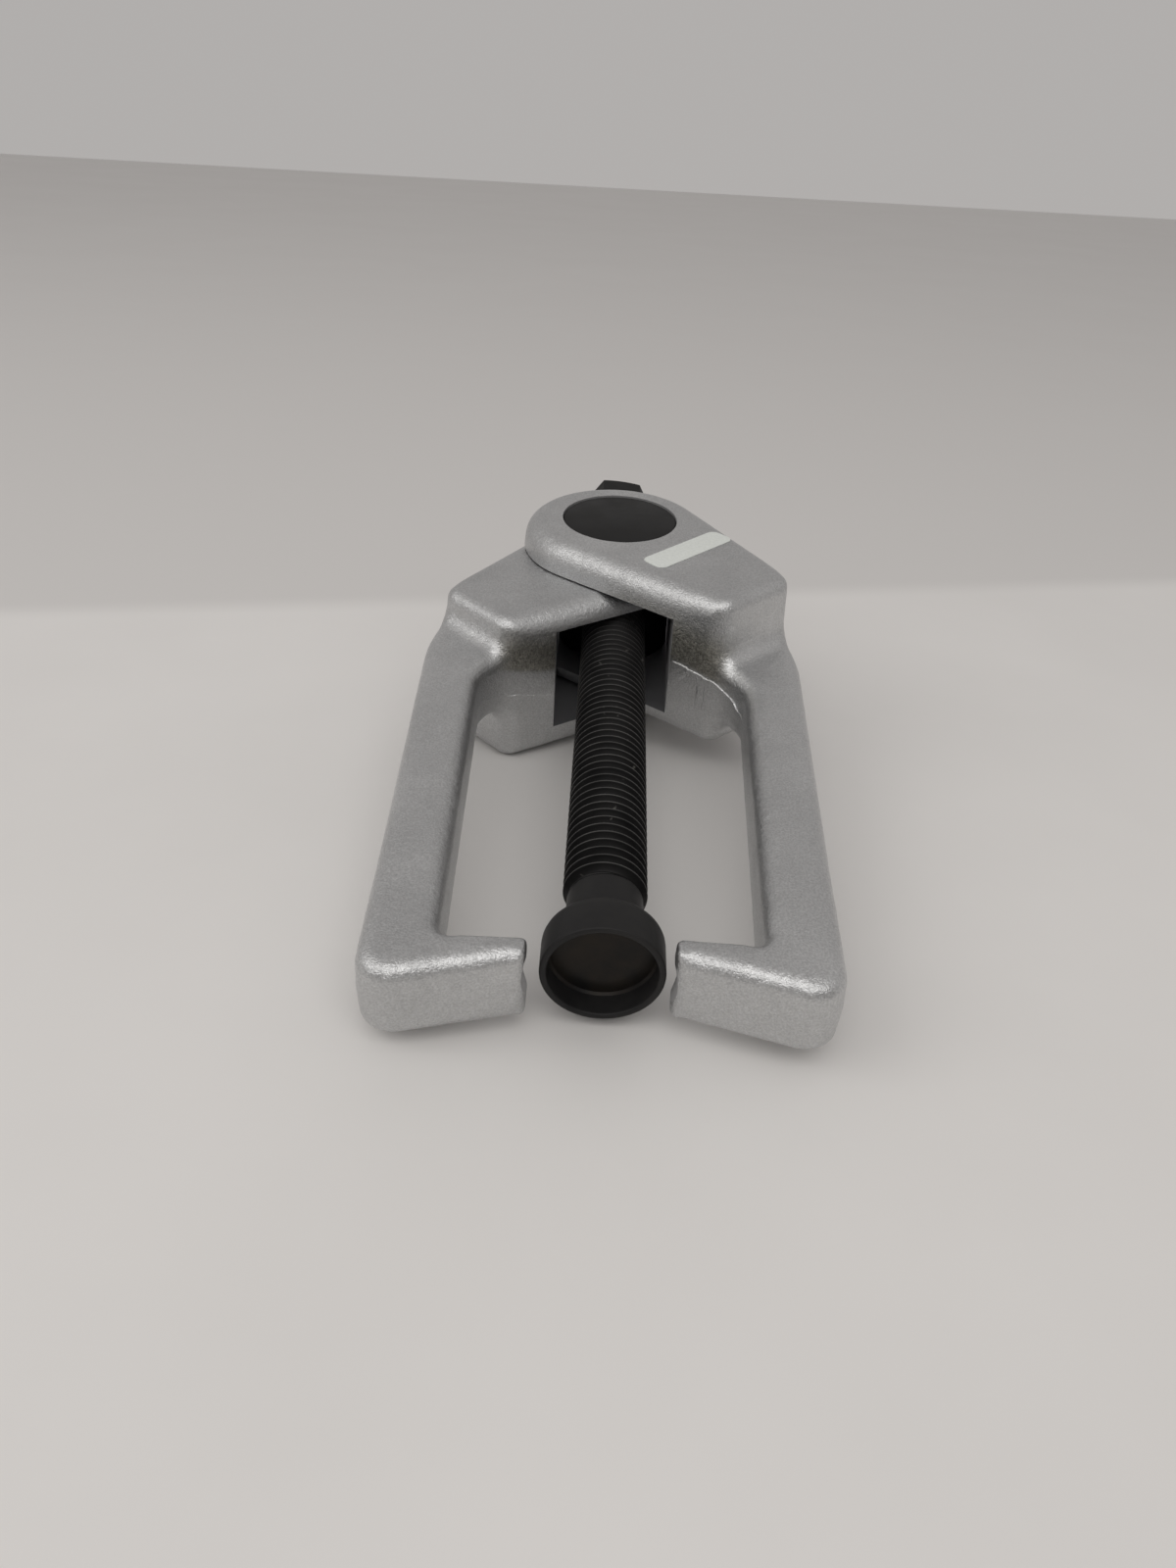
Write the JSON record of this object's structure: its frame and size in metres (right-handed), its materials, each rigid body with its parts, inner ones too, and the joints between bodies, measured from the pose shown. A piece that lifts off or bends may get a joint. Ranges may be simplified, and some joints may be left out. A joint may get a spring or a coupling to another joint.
{
  "type": "ball joint separator",
  "caption": "Screw-driven ball joint separator with hinged cast jaws on a trunnion pin and a swivel cup between their hooks",
  "frame": {"origin": "centre of the bounding box, on the forcing screw's axis, half way between the hex head and the fronts of the hooks", "axes": "+Y along the forcing screw from the cup to the hex head, +Z along the trunnion pin out of the right jaw's outer lug, +X towards the right jaw"},
  "size_m": [0.0895, 0.2088, 0.0465],
  "materials": {
    "cast_jaw": "satin silver paint over sand-cast steel, milled where the lugs and the slot were cut",
    "black_oxide": "satin black oxide over turned steel",
    "cup_steel": "satin black oxide over turned steel, a little worn in the mouth",
    "spring_steel": "dull spring wire",
    "label": "blank white paper label"
  },
  "bodies": {
    "pin": {"trunnion_pin": "black_oxide"},
    "right_jaw": {"right_jaw": "cast_jaw", "blank_label": "label"},
    "left_jaw": {"left_jaw": "cast_jaw"},
    "cup": {"swivel_cup": "cup_steel", "cup_retaining_ring": "spring_steel"},
    "screw": {"forcing_screw": "black_oxide"}
  },
  "joints": [
    {"name": "right_jaw_hinge", "type": "hinge", "parent": "pin", "child": "right_jaw", "pos_m": [0, 0.04439, 0], "axis": [0, 0, 1], "range_deg": [-0.6, 21]},
    {"name": "left_jaw_hinge", "type": "hinge", "parent": "pin", "child": "left_jaw", "pos_m": [0, 0.04439, 0], "axis": [0, 0, -1], "range_deg": [-1, 20.6]},
    {"name": "screw_advance", "type": "slide", "parent": "pin", "child": "cup", "axis": [0, -1, 0], "range_m": [-0.098, 0.021]},
    {"name": "screw_turn", "type": "hinge", "parent": "cup", "child": "screw", "pos_m": [0, 0, 0], "axis": [0, -1, 0], "range_deg": [-15285, 3280]}
  ],
  "couplings": [
    {"joint": "screw_turn", "follows": "screw_advance", "rad_per_m": 2721.2}
  ]
}
